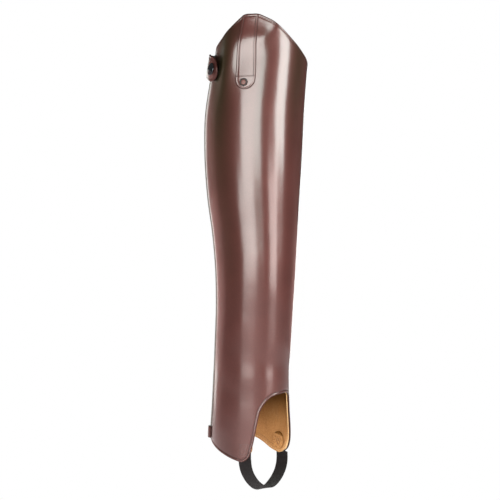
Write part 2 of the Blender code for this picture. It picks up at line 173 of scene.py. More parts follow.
def onLeg(turn, height, proud=0.0, soft=1.0):
    turn, height = np.asarray(turn, float), np.asarray(height, float)
    side = (turn + 180) % 360 - 180
    (front, frontFull), (back, backFull) = legForm["flareFront"], legForm["flareBack"]
    flare = legForm["flare"] * ease((legForm["flareTop"] - height) / legForm["flareRun"])
    flare = flare * ease((front - side) / (front - frontFull)) * ease((side - back) / (backFull - back))
    lift = proud + soft * softForm(turn, height)
    across = halfWidth(height) + lift + flare
    deep = halfDepth(height) + lift
    angle = np.radians(turn)
    return np.stack((-across * np.sin(angle), middle(height) - deep * np.cos(angle),
                     np.broadcast_to(height, np.shape(across))), -1)


def perDegree(turn, height):
    # mm round the leather for one degree of turn
    return np.linalg.norm(onLeg(turn + 0.5, height) - onLeg(turn - 0.5, height), axis=-1)


def seat(turn, height, proud, soft=1.0):
    # a frame in metres on the leg: Z stands out of the leather and Y runs up the leg
    up = Vector(onLeg(turn, height + 1, proud, soft) - onLeg(turn, height - 1, proud, soft)).normalized()
    around = Vector(onLeg(turn + 1, height, proud, soft) - onLeg(turn - 1, height, proud, soft)).normalized()
    out = up.cross(around).normalized()
    place = Matrix((up.cross(out), up, out)).transposed().to_4x4()
    place.translation = Vector(onLeg(turn, height, proud, soft)) * mm
    return place


# making pieces

def meshOf(name, bm):
    mesh = bpy.data.meshes.new(name)
    bm.to_mesh(mesh)
    bm.free()
    return mesh


def addObject(name, data):
    added = bpy.data.objects.new(name, data)
    scene.collection.objects.link(added)
    return added


def finishPiece(name, bm, material, node=None, sharp=50):
    mesh = meshOf(name, bm)
    mesh.shade_smooth()
    mesh.set_sharp_from_angle(angle=radians(sharp))
    mesh.materials.append(material)
    piece = addObject(name, mesh)
    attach(piece, "root")
    if node:
        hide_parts(node)
    return piece


def wallPiece(name, outer, inner, material, slotName, node=None, rim=None, lengths=None, dark=None):
    # a closed wall between two grids of points, from one grid that is extruded; the edge mark (dyed cut
    # edges, with painted shade in the seam grooves) and the shade mark (painted shade) are shares that the
    # material reads at each point, lengths are its UV places
    rows, columns = outer.shape[:2]
    bm = bmesh.new()
    bmesh.ops.create_grid(bm, x_segments=columns - 1, y_segments=rows - 1, size=1)
    rowOf, columnOf = bm.verts.layers.int.new("row"), bm.verts.layers.int.new("column")
    for vert in bm.verts:
        vert[columnOf] = round((vert.co.x + 1) / 2 * (columns - 1))
        vert[rowOf] = round((vert.co.y + 1) / 2 * (rows - 1))
    lifted = bmesh.ops.extrude_face_region(bm, geom=bm.faces[:])["geom"]
    back = {part for part in lifted if isinstance(part, bmesh.types.BMVert)}
    places = []
    for vert in bm.verts:
        r, c = vert[rowOf], vert[columnOf]
        vert.co = (inner if vert in back else outer)[r, c] * mm
        places.append((r, c))
    bmesh.ops.recalc_face_normals(bm, faces=bm.faces)
    if lengths is not None:
        uv = bm.loops.layers.uv.new("UVMap")
        for face in bm.faces:
            for loop in face.loops:
                loop[uv].uv = lengths[loop.vert[rowOf], loop.vert[columnOf]]
    bm.verts.layers.int.remove(rowOf)
    bm.verts.layers.int.remove(bm.verts.layers.int["column"])
    piece = finishPiece(name, bm, material, node)
    places = np.array(places)
    for markName, values in (("rim", rim), ("dark", dark)):
        if values is not None:
            mark = piece.data.attributes.new(markName, "FLOAT", "POINT")
            mark.data.foreach_set("value", values[places[:, 0], places[:, 1]].astype(np.float32))
    return piece


def legWall(name, turns, heights, face, back, *looks, soft=1.0, **marks):
    # a wall on the leg between two distances from the face of the shell
    outer, inner = (onLeg(turns, heights, proud, soft) for proud in (face, back))
    return wallPiece(name, outer, inner, *looks, **marks)


def rounded(distance, radius):
    # how far a face falls away near a rounded edge
    near = np.clip(radius - distance, 0, radius)
    return radius - np.sqrt(radius**2 - near**2)


def rimMark(edge, reach=0.6, full=1.0):
    # the share of edge colour, from the rim inwards
    return np.clip(full - edge / reach, 0, 1)


def crowded(length, step, near):
    # places along a length, evenly spaced between the near ones at both ends
    steps = max(2, round((length - 2 * near[-1]) / step))
    between = np.linspace(near[-1], length - near[-1], steps + 1)
    return np.concatenate((near[:-1], between, (length - near[::-1])[1:]))


def crowdedShares(count):
    # shares from -1 to 1, crowded at both ends
    return np.sin(np.linspace(-pi / 2, pi / 2, count))


def pour(chunk, bm):
    # moves the shapes of a small bmesh into a large one
    mesh = meshOf("chunk", chunk)
    bm.from_mesh(mesh)
    bpy.data.meshes.remove(mesh)


threadForm = {"chunk": 40, "directionShare": 0.25, "segments": 6, "rings": 5}


def stitchRun(bm, turns, heights, proud, size, soft=1.0):
    # lays thread along a path on the leather, one short slanted capsule for each stitch
    path = onLeg(turns, heights, proud, soft)
    along = runLength(path)
    count = max(1, round(along[-1] / size["pitch"]))
    middles = (np.arange(count) + 0.5) * along[-1] / count
    half = size["pitch"] * threadForm["directionShare"]

    def at(places, values):
        return np.stack([np.interp(places, along, values[:, i]) for i in range(3)], -1)

    up = onLeg(turns, heights + 0.5, proud) - onLeg(turns, heights - 0.5, proud)
    around = onLeg(turns + 0.5, heights, proud) - onLeg(turns - 0.5, heights, proud)
    out = np.cross(up, around)
    ahead, behind = (at(np.clip(middles + reach, 0, along[-1]), path) for reach in (half, -half))
    chunk = bmesh.new()
    for i, (spot, forward, outward) in enumerate(zip(at(middles, path), ahead - behind, at(middles, out))):
        if i and i % threadForm["chunk"] == 0:
            pour(chunk, bm)
            chunk = bmesh.new()
        z = Vector(outward).normalized()
        x = Vector(forward).normalized()
        x = (x - z * x.dot(z)).normalized()
        x.rotate(Matrix.Rotation(radians(size["slant"]), 3, z))
        y = z.cross(x)
        place = Matrix((y * size["width"] / 2, z * size["height"] / 2, x * size["length"] / 2)).transposed()
        place = (place * mm).to_4x4()
        place.translation = Vector(spot) * mm
        bmesh.ops.create_uvsphere(chunk, u_segments=threadForm["segments"], v_segments=threadForm["rings"],
                                  radius=1, matrix=place)
    pour(chunk, bm)


# materials

def fill(node, values):
    for socket, value in values.items():
        node.inputs[socket].default_value = value


def nodeOf(tree, kind, values=None, **settings):
    node = tree.nodes.new(kind)
    for key, value in settings.items():
        setattr(node, key, value)
    fill(node, values or {})
    return node


def join(source, output, target, socket):
    source.id_data.links.new(source.outputs[output], target.inputs[socket])


grainForm = {"waveRelief": 0.002, "waveDetail": 3.0, "poreRelief": 0.0003, "poreShare": 0.4}


def makeGrainGroup():
    # fine creased grain and slow waves of a skin, as a normal and a mask of its pores
    group = bpy.data.node_groups.new("skinGrain", "ShaderNodeTree")
    for name, low in (("Grain Size", 900.0), ("Grain Depth", 0.1), ("Wave Size", 30.0), ("Wave Depth", 0.2)):
        socket = group.interface.new_socket(name, in_out="INPUT", socket_type="NodeSocketFloat")
        socket.default_value = low
    for name, kind in (("Normal", "Vector"), ("Pores", "Float"), ("Mottle", "Float")):
        group.interface.new_socket(name, in_out="OUTPUT", socket_type="NodeSocket" + kind)
    ins, outs = nodeOf(group, "NodeGroupInput"), nodeOf(group, "NodeGroupOutput")
    coords = nodeOf(group, "ShaderNodeTexCoord")
    pores = nodeOf(group, "ShaderNodeTexVoronoi", feature="SMOOTH_F1")
    cloud = nodeOf(group, "ShaderNodeTexNoise", {"Detail": grainForm["waveDetail"]})
    for texture, size in ((pores, "Grain Size"), (cloud, "Wave Size")):
        join(coords, "Object", texture, "Vector")
        join(ins, size, texture, "Scale")
    wave = nodeOf(group, "ShaderNodeBump", {"Distance": grainForm["waveRelief"]})
    join(cloud, "Fac", wave, "Height")
    join(ins, "Wave Depth", wave, "Strength")
    fine = nodeOf(group, "ShaderNodeBump", {"Distance": grainForm["poreRelief"]})
    join(pores, "Distance", fine, "Height")
    join(ins, "Grain Depth", fine, "Strength")
    join(wave, "Normal", fine, "Normal")
    speckle = nodeOf(group, "ShaderNodeMix", {0: grainForm["poreShare"]}, data_type="FLOAT")
    join(cloud, "Fac", speckle, 2)
    join(pores, "Distance", speckle, 3)
    join(fine, "Normal", outs, "Normal")
    join(pores, "Distance", outs, "Pores")
    join(speckle, 0, outs, "Mottle")
    return group


skinGrain = makeGrainGroup()


def newMaterial(name):
    material = bpy.data.materials.new(name)
    material.use_nodes = True
    return material, material.node_tree, material.node_tree.nodes["Principled BSDF"]


# shared by both leathers: range of the mottle, change of roughness in the grain, coat left where the edge
# mark is full
leatherForm = {"mottle": (0.3, 0.7), "smoother": 0.04, "rougher": 0.05, "edgeCoat": 0.12}


def leather(name, look):
    material, tree, shader = newMaterial(name)
    grain = nodeOf(tree, "ShaderNodeGroup", node_tree=skinGrain)
    fill(grain, {"Grain Size": look["grainSize"], "Grain Depth": look["grainDepth"],
                 "Wave Size": look["waveSize"], "Wave Depth": look["waveDepth"]})
    tone = nodeOf(tree, "ShaderNodeValToRGB")
    for stop, position, key in zip(tone.color_ramp.elements, leatherForm["mottle"], ("deep", "light")):
        stop.position = position
        stop.color = (*look[key], 1)
    join(grain, "Mottle", tone, "Fac")
    last, output = tone, "Color"
    # the shade mark lays the painted shade colour over the grain tone, then the edge mark lays the dyed edge
    # colour, which also stands for painted shade in the seam grooves
    for mark, key in (("dark", "dark"), ("rim", "edge")):
        share = nodeOf(tree, "ShaderNodeAttribute", attribute_name=mark)
        mixed = nodeOf(tree, "ShaderNodeMix", data_type="RGBA")
        fill(mixed, {7: (*look[key], 1)})
        join(share, "Fac", mixed, 0)
        join(last, output, mixed, 6)
        last, output = mixed, 2
    join(last, output, shader, "Base Color")
    rough = nodeOf(tree, "ShaderNodeMapRange", {"To Min": look["roughness"] - leatherForm["smoother"],
                                                "To Max": look["roughness"] + leatherForm["rougher"]})
    join(grain, "Pores", rough, "Value")
    join(rough, "Result", shader, "Roughness")
    join(grain, "Normal", shader, "Normal")
    join(grain, "Normal", shader, "Coat Normal")
    # the coat is thinned where the last mark, the edge mark, is full, so dyed edges and the painted shade of
    # the seam grooves stay dark
    thinnerCoat = nodeOf(tree, "ShaderNodeMapRange", {"To Min": look["coat"],
                                               "To Max": look["coat"] * leatherForm["edgeCoat"]})
    join(share, "Fac", thinnerCoat, "Value")
    join(thinnerCoat, "Result", shader, "Coat Weight")
    fill(shader, {"Specular IOR Level": look["specular"], "Specular Tint": (*look["specularTint"], 1),
                  "Coat Roughness": look["coatRoughness"]})
    return material


# oxblood: its darkest colour is painted shade; its edge colour is the dyed cut edge and also painted shade in
# the seam grooves
oxblood = leather("oxbloodLeather", {
    "deep": (0.043, 0.0125, 0.0105), "light": (0.066, 0.0185, 0.0155),
    "dark": (0.016, 0.0125, 0.0055), "edge": (0.024, 0.009, 0.007),
    "grainSize": 1000.0, "grainDepth": 0.055, "waveSize": 26.0, "waveDepth": 0.16,
    "roughness": 0.42, "specular": 0.40, "specularTint": (1.0, 0.42, 0.38),
    "coat": 1.0, "coatRoughness": 0.185,
})
# tan lining: its darkest colour is painted shade up inside the hollow and on the facings; its edge colour is
# the pale cut edge
tanLeather = leather("tanLining", {
    "deep": (0.34, 0.145, 0.046), "light": (0.52, 0.25, 0.095),
    "dark": (0.105, 0.036, 0.002), "edge": (0.60, 0.36, 0.18), "grainSize": 900.0,
    "grainDepth": 0.35, "waveSize": 34.0, "waveDepth": 0.5, "roughness": 0.62,
    "specular": 0.25, "specularTint": (1.0, 0.8, 0.6), "coat": 0.0,
    "coatRoughness": 0.3,
})


def plainFinish(name, colour, roughness, metallic=0.0, coat=0.0):
    material, _, shader = newMaterial(name)
    fill(shader, {"Base Color": (*colour, 1), "Roughness": roughness, "Metallic": metallic,
                  "Coat Weight": coat})
    return material


darkThread = plainFinish("darkThread", (0.020, 0.009, 0.007), 0.7)
lobeColour = plainFinish("lobeThread", (0.045, 0.014, 0.012), 0.6)
tanThread = plainFinish("tanThread", (0.11, 0.038, 0.012), 0.6)
paleThread = plainFinish("paleThread", (0.62, 0.40, 0.22), 0.6)
capMetal = plainFinish("capMetal", (0.035, 0.035, 0.04), 0.16, 0.75, 0.3)
zipMetal = plainFinish("zipMetal", (0.17, 0.15, 0.135), 0.38, 1.0)
studPaint = plainFinish("studPaint", (0.13, 0.045, 0.036), 0.5)
studRim = plainFinish("studRim", (0.022, 0.010, 0.008), 0.55)
tapeWeave = plainFinish("tapeWeave", (0.030, 0.017, 0.014), 0.8)

elasticLook = {
    "ribs": {"Scale": 5.5, "Distortion": 0.4},
    "tones": {6: (0.0035, 0.0026, 0.0027, 1), 7: (0.0125, 0.0096, 0.0100, 1)},
    "relief": {"Distance": 0.0004, "Strength": 0.6},
    "surface": {"Roughness": 0.75, "Specular IOR Level": 0.22, "Specular Tint": (1.0, 0.84, 0.86, 1),
                "Sheen Weight": 0.04},
}


def elasticFinish():
    material, tree, shader = newMaterial("elasticWeave")
    coords = nodeOf(tree, "ShaderNodeTexCoord")
    ribs = nodeOf(tree, "ShaderNodeTexWave", elasticLook["ribs"], wave_type="BANDS", bands_direction="X")
    tone = nodeOf(tree, "ShaderNodeMix", data_type="RGBA")
    fill(tone, elasticLook["tones"])
    bump = nodeOf(tree, "ShaderNodeBump", elasticLook["relief"])
    join(coords, "UV", ribs, "Vector")
    join(ribs, "Fac", tone, 0)
    join(tone, 2, shader, "Base Color")
    join(ribs, "Fac", bump, "Height")
    join(bump, "Normal", shader, "Normal")
    fill(shader, elasticLook["surface"])
    return material


elasticWeave = elasticFinish()
print("materials made")

# shell and lining: one grid over the whole panel, with rows and columns crowded at its edges

panel = {
    "near": [0.0, 0.12, 0.35, 0.7, 1.2, 1.7, 2.2, 2.7, 3.3, 4.2],
    "step": 2.7, "tall": 400.0, "endFade": 14.0, "edgeRadius": 0.75,
    "slopeStep": 0.2, "stitchInset": 2.6, "topInset": 2.1, "swellInset": 1.3, "stitchShadeInset": 2.3,
    # swell, trough, and painted shade along the stitch groove by the rim: height or share, reach
    "swell": (0.14, 0.7), "trough": (0.2, 0.45), "stitchGrooveShade": (0.45, 0.5),
    "rimReach": 0.7, "rimFull": 1.5,
}
# the last four entries paint shade into the lining higher up inside the hollow: its share, the height it
# starts at, the run over which it grows, the distance over which it fades from the edges
liningKit = {
    "step": 4.0, "edgeRadius": 0.45, "dark": 0.95, "darkFrom": -312.0,
    "darkRun": 42.0, "darkFade": 500.0,
}


def inward(s):
    # places on the bottom edge, and the turn and height that lead 1 mm inwards from them
    turn, height = bottomTurn(s), bottomHeight(s)
    perTurn = perDegree(turn, height)
    step, fade = panel["slopeStep"], panel["endFade"]
    dx = perTurn * (bottomTurn(s + step) - bottomTurn(s - step))
    dz = bottomHeight(s + step) - bottomHeight(s - step)
    size = np.hypot(dx, dz)
    inX, inZ = dz / size, -dx / size
    atEnd = ease(1 - s / fade) + ease(1 - (bottomAlong[-1] - s) / fade)
    inX, inZ = inX * (1 - atEnd), inZ * (1 - atEnd) + atEnd
    size = np.hypot(inX, inZ)
    return turn, height, inX / size / perTurn, inZ / size


def topSlope(turn):
    return (topHeight(turn + 0.5) - topHeight(turn - 0.5)) / perDegree(turn, topHeight(turn))


def panelGrid(step):
    # turns and heights over the whole panel, and how far each point lies from its nearest edge
    near = np.array(panel["near"])
    s = crowded(bottomAlong[-1], step, near)
    turn, height, inTurn, inHeight = inward(s)
    bandTurn = turn + inTurn * near[:, None]
    bandHeight = height + inHeight * near[:, None]
    topTurn = bottomTop(s)
    high = topHeight(topTurn)
    stretch = np.sqrt(1 + topSlope(topTurn) ** 2)
    length = high - bandHeight[-1]
    steps = round(panel["tall"] / step)
    even = np.linspace(0, 1, steps + 1)[1:, None] * (1 - near[-1] * stretch / length)
    last = 1 - near[::-1][1:, None] * stretch / length
    up = np.concatenate((even, last))
    mainTurn = topTurn + (bandTurn[-1] - topTurn) * (1 - up) ** 2
    mainHeight = bandHeight[-1] + length * up
    turns = np.concatenate((bandTurn, mainTurn))
    heights = np.concatenate((bandHeight, mainHeight))
    fromBottom = np.concatenate((near[:, None] + 0 * turn, near[-1] + length * up))
    fromTop = np.concatenate((length + 0 * bandTurn, length * (1 - up) / stretch))
    across = perDegree(turns, heights)
    fromZip = np.minimum(zipEdge - turns, turns - zipBackEdge) * across
    return turns, heights, np.minimum(np.minimum(fromBottom, fromTop), fromZip)


def rimForm(edge):
    # the soft swell along the rim and the trough that the thread pulls in
    swell = ridge(edge - panel["swellInset"], *panel["swell"])
    return swell - ridge(edge - panel["stitchInset"], *panel["trough"])


def liningTuck(turn, height):
    turn = (turn + 180) % 360 - 180
    fade = layers["tuckFade"]
    fromZip = np.minimum(abs(turn - zipTurn), abs(turn + 360 - zipTurn))
    behindZip = layers["zipTuck"] * (1 - ease((fromZip - layers["zipTuckTurns"]) / fade))
    fromElastic = np.minimum(abs(turn - layers["outerEnd"]), abs(turn - layers["innerEnd"]))
    behindElastic = layers["elasticTuck"] * (1 - ease((fromElastic - layers["elasticTuckTurns"]) / fade))
    down = ease((layers["elasticTuckTop"] - height) / layers["elasticTuckRun"])
    return np.maximum(behindZip, behindElastic * down)


turns, heights, edge = panelGrid(panel["step"])
drop = rounded(edge, panel["edgeRadius"])
# the edge mark: dyed cut edge, and painted shade along the stitch groove
rim = rimMark(edge, panel["rimReach"], panel["rimFull"])
rim = rim + ridge(edge - panel["stitchShadeInset"], *panel["stitchGrooveShade"])
# painted shade on the shell, from the table of shaded places
dark = np.clip(softForm(turns, heights, darkSpots), 0, 1)
shell = legWall("shellLeather", turns, heights, rimForm(edge) - drop, drop - layers["leather"],
                oxblood, "oxblood_leather", "shell", rim=rim, dark=dark)

turns, heights, edge = panelGrid(liningKit["step"])
drop = rounded(edge, liningKit["edgeRadius"])
liningFace = -layers["leather"] - gap
back = liningFace - layers["lining"] - liningTuck(turns, heights) + drop
# painted shade: the lining grows darker higher up inside the hollow
dark = liningKit["dark"] * ease((heights - liningKit["darkFrom"]) / liningKit["darkRun"])
dark = dark * ease(1 - edge / liningKit["darkFade"])
lining = legWall("liningLeather", turns, heights, liningFace - drop, back, tanLeather, "tan_lining", "lining",
                 rim=rimMark(edge), dark=dark)
print("shell and lining made")

# thread along the shell's edges

edgeThread = {"pitch": 2.6, "length": 2.3, "width": 0.62, "height": 0.5, "slant": 16, "proud": -0.02}
archThread = {"pitch": 2.4, "length": 1.9, "width": 0.62, "height": 0.55, "slant": 34, "proud": 0.05}
edgeRuns = {"topEnd": 4.0, "zipFoot": -317.0, "zipTop": 93.0, "bottomSteps": 600, "topSteps": 500,
            "zipSteps": 300}


def bottomRun(start, end, inset):
    s = np.linspace(start, end, edgeRuns["bottomSteps"])
    turn, height, inTurn, inHeight = inward(s)
    return turn + inTurn * inset, height + inHeight * inset


bm = bmesh.new()
inset = panel["stitchInset"]
for start, end, thread in ((inset, atLobe["outerTip"], edgeThread),
                           (atLobe["outerTip"], atLobe["innerTip"], archThread),
                           (atLobe["innerTip"], bottomAlong[-1] - inset, edgeThread)):
    stitchRun(bm, *bottomRun(start, end, inset), thread["proud"], thread)
runTurns = np.linspace(zipBackEdge + edgeRuns["topEnd"], zipEdge - edgeRuns["topEnd"], edgeRuns["topSteps"])
runHeights = topHeight(runTurns) - panel["topInset"] * np.sqrt(1 + topSlope(runTurns) ** 2)
stitchRun(bm, runTurns, runHeights, edgeThread["proud"], edgeThread)
runHeights = np.linspace(edgeRuns["zipFoot"], edgeRuns["zipTop"], edgeRuns["zipSteps"])
for side, turn in ((-1, zipEdge), (1, zipBackEdge)):
    runTurns = turn + side * inset / perDegree(turn, runHeights)
    stitchRun(bm, runTurns, runHeights, edgeThread["proud"], edgeThread)
finishPiece("shellThread", bm, darkThread)
print("edge stitches made")

# zip: tape, two rows of meshed teeth, slider and pull

zipKit = {
    "tapeHalf": 11.0, "tapeEnd": 2.0, "tapeGrid": (25, 150), "teethBottom": -314.0,
    "teethTop": 90.0, "pitch": 2.1, "toothLong": 3.3, "toothTall": 1.0,
    "toothDeep": 1.9, "toothShift": 0.95, "toothProud": -0.45, "toothBevel": 0.22,
    "sliderHeight": 83.5, "sliderProud": 0.9, "sliderThick": 1.9, "pullProud": 3.1,
    "pullThick": 0.9,
}
half, end = zipKit["tapeHalf"], zipKit["tapeEnd"]
columns, rows = zipKit["tapeGrid"]
turns, heights = np.meshgrid(np.linspace(zipTurn - half, zipTurn + half, columns),
                             np.linspace(layers["zipFoot"] + end, layers["zipTop"] - end, rows))
tapeFace = -layers["leather"] - layers["bandGap"]
tape = legWall("zipTapeWeave", turns, heights, tapeFace, tapeFace - layers["tape"],
               tapeWeave, "zip_tape", "zip_tape")

bm = bmesh.new()
toothCount = round((zipKit["teethTop"] - zipKit["teethBottom"]) / zipKit["pitch"] * 2)
for i in range(toothCount):
    height = zipKit["teethBottom"] + (i + 0.5) * zipKit["pitch"] / 2
    side = 1 if i % 2 else -1
    place = seat(zipTurn, height, zipKit["toothProud"])
    size = Matrix.Diagonal((zipKit["toothLong"] * mm, zipKit["toothTall"] * mm, zipKit["toothDeep"] * mm, 1))
    shift = Matrix.Translation((side * zipKit["toothShift"] * mm, 0, 0))
    bmesh.ops.create_cube(bm, size=1, matrix=place @ shift @ size)
bmesh.ops.bevel(bm, geom=bm.edges[:], offset=zipKit["toothBevel"] * mm, segments=1, profile=0.5,
                affect="EDGES", material=-1)
finishPiece("zipTeeth", bm, zipMetal, "zip_chain")


def platePiece(name, side, thick, proud, node, bevel=0.3):
    # a flat plate over the zip's top from its right-hand outline, with softened edges
    outline = side + [(-x, y) for x, y in reversed(side)]
    bm = bmesh.new()
    face = bm.faces.new([bm.verts.new((x * mm, y * mm, 0)) for x, y in outline])
    lifted = bmesh.ops.extrude_face_region(bm, geom=[face])["geom"]
    raised = [part for part in lifted if isinstance(part, bmesh.types.BMVert)]
    bmesh.ops.translate(bm, verts=raised, vec=(0, 0, thick * mm))
    bmesh.ops.recalc_face_normals(bm, faces=bm.faces)
    bmesh.ops.bevel(bm, geom=bm.edges[:], offset=bevel * mm, segments=3, profile=0.5, affect="EDGES",
                    material=-1)
    bmesh.ops.transform(bm, matrix=seat(zipTurn, zipKit["sliderHeight"], proud), verts=bm.verts)
    finishPiece(name, bm, zipMetal, node)


sliderSide = [(2.6, -5.2), (3.6, -1.0), (4.2, 3.4), (2.2, 5.6)]
pullSide = [(1.4, -13.5), (2.8, -11.5), (2.8, 1.0), (1.6, 3.0)]
platePiece("zipSliderBody", sliderSide, zipKit["sliderThick"], zipKit["sliderProud"], "zip_slider")
platePiece("zipPullPlate", pullSide, zipKit["pullThick"], zipKit["pullProud"], "zip_pull")
print("zip made")

# snap tab with its cap and socket

tabKit = {
    "turn": [111.5, 123, 136, 150, 158, 166, 174],
    "height": [69, 71.6, 75, 78, 78.4, 78.2, 77.5],
    "half": [13, 13, 13, 13, 12.8, 12.5, 12],
    "endRadius": 13.0, "thick": 2.0, "snapTurn": 122.0, "snapHeight": 71.5,
    # how far it stands off the leather over the zip, between which turns, and how its lower half sinks
    "proud": 4.4, "lowTurn": 164.0, "highTurn": 157.0, "lowShare": 0.6, "lowFrom": 73.0, "lowRun": 12.0,
    # its sewn edge, and the rows and columns of its grid
    "edgeRadius": 0.85, "stitchInset": 2.4, "secondRow": 8.0, "threadSink": 0.1, "groove": (0.22, 0.45),
    "rows": (16, 26), "columns": 33,
}
# distances from an edge at which the grids of the tab and the strap have rows
bandNear = np.array([0.0, 0.12, 0.4, 0.8, 1.3, 1.8, 2.3, 2.8, 3.4])
tabCentre = smoothCurve(tabKit["turn"], tabKit["height"])
tabHalf = smoothCurve(tabKit["turn"], tabKit["half"])
tabPerTurn = float(perDegree(tabKit["snapTurn"], tabKit["snapHeight"]))
tabStart, tabEnd = tabKit["turn"][0], tabKit["turn"][-1]
tabLong = (tabEnd - tabStart) * tabPerTurn


def bandRows(radius, length, rows):
    # rows of a band with one round end, crowded at both ends
    roundRows = radius * (1 - np.cos(np.linspace(0.12, pi / 2, rows[0])))
    return roundRows, np.linspace(radius, length - bandNear[-1], rows[1])[1:], length - bandNear[::-1][1:]


def narrowed(half, fromEnd):
    # half the width where the end is round
    return np.sqrt(half**2 - np.clip(half - fromEnd, 0, None) ** 2)


def bandEdge(fromEnd, share, halves, radius, toOtherEnd):
    # how far each point lies from its nearest edge
    roundEdge = radius - np.hypot(np.clip(radius - fromEnd, 0, None), halves * share)
    edge = np.where(fromEnd < radius, roundEdge, halves * (1 - abs(share)))
    return np.clip(np.minimum(edge, toOtherEnd), 0, None)


def tabBase(turn, height):
    rise = ease((tabKit["lowTurn"] - turn) / (tabKit["lowTurn"] - tabKit["highTurn"]))
    rise = rise * (1 - tabKit["lowShare"] * ease((tabKit["lowFrom"] - height) / tabKit["lowRun"]))
    return gap + (tabKit["proud"] - gap) * rise


def tabRun(bm, turns, heights):
    proud = tabBase(turns, heights) + tabKit["thick"] - tabKit["threadSink"]
    stitchRun(bm, turns, heights, proud, tabThread, 0)


endRadius, inset = tabKit["endRadius"], tabKit["stitchInset"]
rows = np.concatenate(bandRows(endRadius, tabLong, tabKit["rows"]))
fromEnd, share = np.meshgrid(rows, crowdedShares(tabKit["columns"]), indexing="ij")
turns = tabStart + fromEnd / tabPerTurn
halves = narrowed(tabHalf(turns), fromEnd)
heights = tabCentre(turns) + halves * share
edge = bandEdge(fromEnd, share, halves, endRadius, tabLong - fromEnd)
drop = rounded(edge, tabKit["edgeRadius"])
base = tabBase(turns, heights)
face = base + tabKit["thick"] - drop - ridge(edge - inset, *tabKit["groove"])
tab = legWall("snapTabLeather", turns, heights, face, base + drop, oxblood, "oxblood_leather", "snap_tab",
              soft=0, rim=rimMark(edge))

tabThread = {"pitch": 2.4, "length": 1.9, "width": 0.55, "height": 0.45, "slant": 12}
bm = bmesh.new()
angle = np.linspace(-pi / 2, pi / 2, 60)
ringTurn = tabStart + (endRadius - (endRadius - inset) * np.cos(angle)) / tabPerTurn
tabRun(bm, ringTurn, tabCentre(ringTurn) + (endRadius - inset) * np.sin(angle))
runTurns = np.linspace(tabStart + endRadius / tabPerTurn, tabEnd - inset / tabPerTurn, 80)
for side in (-1, 1):
    tabRun(bm, runTurns, tabCentre(runTurns) + side * (tabHalf(runTurns) - inset))
runHeights = np.linspace(-1, 1, 20) * (tabKit["half"][-1] - inset) + tabKit["height"][-1]
for toEnd in (inset, tabKit["secondRow"]):
    tabRun(bm, np.full(len(runHeights), tabEnd - toEnd / tabPerTurn), runHeights)
finishPiece("snapTabThread", bm, darkThread)


def turnedPiece(name, profile, place, material, node, sharp=40):
    # a round piece from its profile: radius and height in mm
    bm = bmesh.new()
    verts = [bm.verts.new((radius * mm, 0, height * mm)) for radius, height in profile]
    edges = [bm.edges.new(pair) for pair in zip(verts, verts[1:])]
    bmesh.ops.spin(bm, geom=verts + edges, cent=(0, 0, 0), axis=(0, 0, 1), angle=radians(360),
                   steps=48, use_merge=True)
    bmesh.ops.remove_doubles(bm, verts=bm.verts, dist=0.00001)
    bmesh.ops.recalc_face_normals(bm, faces=bm.faces)
    bmesh.ops.transform(bm, matrix=place, verts=bm.verts)
    return finishPiece(name, bm, material, node, sharp=sharp)


capProfile = [(0, 0), (6.0, 0), (6.35, 0.1), (6.6, 0.4), (6.65, 0.8), (6.5, 1.15), (6.1, 1.4), (5.4, 1.55),
              (5.0, 1.5), (4.7, 1.6), (3.8, 1.9), (2.6, 2.15), (1.3, 2.28), (0, 2.3)]
socketProfile = [(0, 0), (5.0, 0), (5.2, 0.3), (5.2, 1.0), (4.4, 1.3), (3.6, 1.4), (3.6, 3.0), (3.2, 3.35),
                 (0, 3.35)]
snap = tabKit["snapTurn"], tabKit["snapHeight"]
capSeat = seat(*snap, tabBase(*snap) + tabKit["thick"] + gap, 0)
turnedPiece("snapCapMetal", capProfile, capSeat, capMetal, "snap_cap")
turnedPiece("snapSocketMetal", socketProfile, seat(*snap, gap), capMetal, "snap_socket")
print("snap tab made")

# upright strap with its stud

strapKit = {
    "height": [47.6, 62, 93, 124.3],
    "turn": [73.6, 74.3, 77, 75],
    "half": [10.4, 10.3, 9.6, 8.2],
    "thick": 1.4, "edgeRadius": 0.65, "rows": (15, 34), "columns": 29,
    "studTurn": 75.3, "studHeight": 54.6,
    # the top follows the peak: how far over it, and from which height above the round end
    "overTop": 0.7, "overFrom": 40.0, "overRun": 30.0,
    # the seam across: its height, the reach of its close rows, and how far other rows keep off
    "crossStitch": 60.8, "crossBand": 1.1, "crossClear": 1.6,
    "stitchInset": 2.3, "crossInset": 0.6, "topSeam": 2.5, "sideSink": 0.08, "crossSink": 0.02,
    # the groove, and painted shade along the seams' grooves: depth or share, reach
    "groove": (0.18, 0.4), "seamGrooveShade": (0.8, 0.45), "crossGrooveShade": (0.9, 0.55),
    # rimFull widens the dark edge: dyed cut edge with a painted shadow line beside it; seamFrom and seamRun
    # start the seam shade above the round end
    "rimFull": 1.8, "seamFrom": 11.0, "seamRun": 3.0,
}
strapTurn = smoothCurve(strapKit["height"], strapKit["turn"])
strapHalf = smoothCurve(strapKit["height"], strapKit["half"])
strapBottom, strapTop = strapKit["height"][0], strapKit["height"][-1]
radius, inset, crossStitch = strapKit["half"][0], strapKit["stitchInset"], strapKit["crossStitch"]
endRows, midRows, topRows = bandRows(radius, strapTop - strapBottom, strapKit["rows"])
crossRows = crossStitch - strapBottom + np.linspace(-strapKit["crossBand"], strapKit["crossBand"], 5)
midRows = midRows[np.abs(midRows - (crossStitch - strapBottom)) > strapKit["crossClear"]]
rows = np.sort(np.concatenate((endRows, midRows, crossRows, topRows)))
fromEnd, share = np.meshgrid(rows, crowdedShares(strapKit["columns"]), indexing="ij")
heights = strapBottom + fromEnd
halves = narrowed(strapHalf(heights), fromEnd)
turns = strapTurn(heights) + halves * share / perDegree(strapTurn(heights), heights)
edge = bandEdge(fromEnd, share, halves, radius, strapTop - heights)
